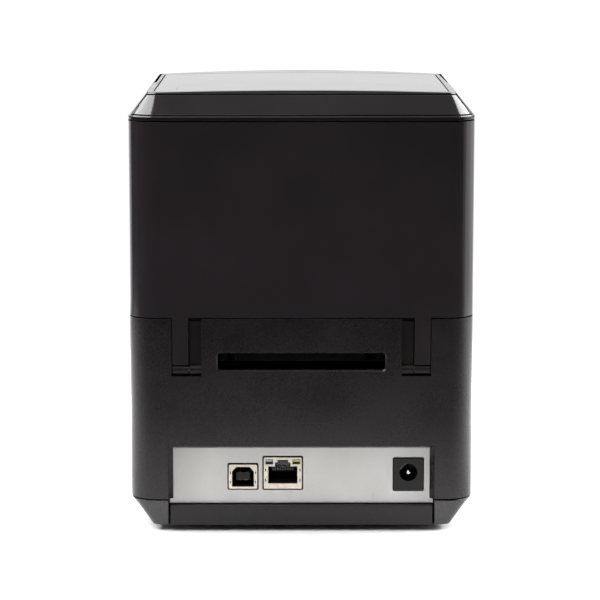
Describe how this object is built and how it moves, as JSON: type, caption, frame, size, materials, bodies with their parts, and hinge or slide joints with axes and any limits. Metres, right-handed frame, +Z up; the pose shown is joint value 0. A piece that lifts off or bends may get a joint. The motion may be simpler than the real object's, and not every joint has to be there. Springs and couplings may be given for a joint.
{
  "type": "thermal label printer",
  "caption": "Desktop direct thermal label printer with a rear-hinged clamshell lid, roll bay, platen drive and rear socket plate.",
  "frame": {"origin": "on the surface the feet stand on, under the middle of the case", "axes": "+Z up, -Y towards the label mouth at the front, +Y towards the socket plate at the rear"},
  "size_m": [0.141, 0.212, 0.181],
  "materials": {
    "case_black": "satin moulded black plastic",
    "gloss_black": "polished black plastic",
    "smoked_window": "smoked clear plastic",
    "foot_rubber": "matte rubber",
    "zinc_plate": "zinc-plated sheet, finely mottled",
    "bright_steel": "bright plated steel",
    "aluminium": "satin aluminium",
    "white_nylon": "natural nylon",
    "clear_lens": "milky light guide",
    "yellow_lens": "yellow-olive light guide",
    "dark_plastic": "dark moulded plastic",
    "grey_plastic": "grey moulded plastic",
    "circuit_board": "green solder mask",
    "platen_rubber": "ground silicone rubber"
  },
  "bodies": {
    "base": {"bottom_case": "case_black", "base_shell": "case_black", "foot_rear_left": "foot_rubber", "foot_rear_right": "foot_rubber", "foot_front_left": "foot_rubber", "foot_front_right": "foot_rubber", "case_screw_rear_left": "bright_steel", "case_screw_rear_right": "bright_steel", "case_screw_front_left": "bright_steel", "case_screw_front_right": "bright_steel", "io_plate": "zinc_plate", "usb_socket_shell": "bright_steel", "usb_socket_tongue": "dark_plastic", "ethernet_socket": "bright_steel", "ethernet_window_left": "clear_lens", "ethernet_window_right": "yellow_lens", "power_socket_body": "dark_plastic", "power_socket_pin": "bright_steel", "main_board": "circuit_board", "processor": "dark_plastic", "inner_chassis": "dark_plastic", "sensor_rail": "bright_steel", "pinion_post": "bright_steel", "platen_frame": "zinc_plate", "platen_bearing_left": "white_nylon", "platen_bearing_right": "white_nylon", "idler_stud": "bright_steel", "stepper_motor": "dark_plastic", "front_bezel": "gloss_black", "status_lens": "clear_lens"},
    "lid": {"lid_shell": "case_black", "lid_crown": "case_black", "top_panel": "gloss_black", "rear_trim": "case_black", "media_window": "smoked_window", "hinge_pin_left": "bright_steel", "hinge_pin_right": "bright_steel", "latch_strike_left": "grey_plastic", "latch_strike_right": "grey_plastic", "head_bracket": "zinc_plate", "head_spring_left": "bright_steel", "head_spring_right": "bright_steel", "tear_bar": "bright_steel"},
    "head": {"printhead": "aluminium"},
    "platen": {"platen_roller": "platen_rubber", "platen_shaft": "bright_steel", "platen_gear": "white_nylon"},
    "idler": {"idler_gear": "white_nylon"},
    "motor_rotor": {"motor_pinion": "aluminium"},
    "guide_left": {"media_guide_left": "grey_plastic", "core_holder_left": "grey_plastic"},
    "guide_right": {"media_guide_right": "grey_plastic", "core_holder_right": "grey_plastic"},
    "guide_wheel": {"guide_pinion": "white_nylon"},
    "sensor": {"gap_sensor": "grey_plastic"},
    "feed_key": {"feed_button": "grey_plastic"},
    "power_key": {"power_button": "grey_plastic"},
    "latch_left": {"latch_button_left": "grey_plastic"},
    "latch_right": {"latch_button_right": "grey_plastic"}
  },
  "joints": [
    {"name": "lid_hinge", "type": "hinge", "parent": "base", "child": "lid", "pos_m": [0, 0.1037, 0.0676], "axis": [-1, 0, 0], "range_deg": [0, 92]},
    {"name": "head_float", "type": "slide", "parent": "lid", "child": "head", "axis": [0, 0, 1], "range_m": [0, 0.001], "stiffness_N_per_m": 2500, "springref_m": -0.002, "deforming": ["head_spring_left", "head_spring_right"]},
    {"name": "platen_spin", "type": "hinge", "parent": "base", "child": "platen", "pos_m": [0, -0.084, 0.082], "axis": [1, 0, 0], "continuous": true},
    {"name": "idler_spin", "type": "hinge", "parent": "base", "child": "idler", "pos_m": [0, -0.07642, 0.06119], "axis": [1, 0, 0], "continuous": true},
    {"name": "motor_spin", "type": "hinge", "parent": "base", "child": "motor_rotor", "pos_m": [0, -0.0794, 0.0443], "axis": [1, 0, 0], "continuous": true},
    {"name": "guide_left_slide", "type": "slide", "parent": "base", "child": "guide_left", "axis": [1, 0, 0], "range_m": [-0.012, 0.0024]},
    {"name": "guide_right_slide", "type": "slide", "parent": "base", "child": "guide_right", "axis": [-1, 0, 0], "range_m": [-0.012, 0.0024]},
    {"name": "guide_wheel_spin", "type": "hinge", "parent": "base", "child": "guide_wheel", "pos_m": [0, 0.032, 0.0355], "axis": [0, 0, 1], "range_deg": [-24, 116]},
    {"name": "sensor_slide", "type": "slide", "parent": "base", "child": "sensor", "axis": [1, 0, 0], "range_m": [-0.026, 0.026]},
    {"name": "feed_press", "type": "slide", "parent": "base", "child": "feed_key", "axis": [0, 1, 0], "range_m": [0, 0.0012], "stiffness_N_per_m": 600, "springref_m": -0.001},
    {"name": "power_press", "type": "slide", "parent": "base", "child": "power_key", "axis": [0, 1, 0], "range_m": [0, 0.0012], "stiffness_N_per_m": 600, "springref_m": -0.001},
    {"name": "latch_left_press", "type": "slide", "parent": "base", "child": "latch_left", "axis": [-1, 0, 0], "range_m": [0, 0.0025], "stiffness_N_per_m": 600, "springref_m": -0.001},
    {"name": "latch_right_press", "type": "slide", "parent": "base", "child": "latch_right", "axis": [1, 0, 0], "range_m": [0, 0.0025], "stiffness_N_per_m": 600, "springref_m": -0.001}
  ],
  "couplings": [
    {"joint": "idler_spin", "follows": "platen_spin", "ratio": -0.83333},
    {"joint": "motor_spin", "follows": "platen_spin", "ratio": 2},
    {"joint": "guide_right_slide", "follows": "guide_left_slide", "ratio": 1},
    {"joint": "guide_wheel_spin", "follows": "guide_left_slide", "rad_per_m": -166.67}
  ]
}
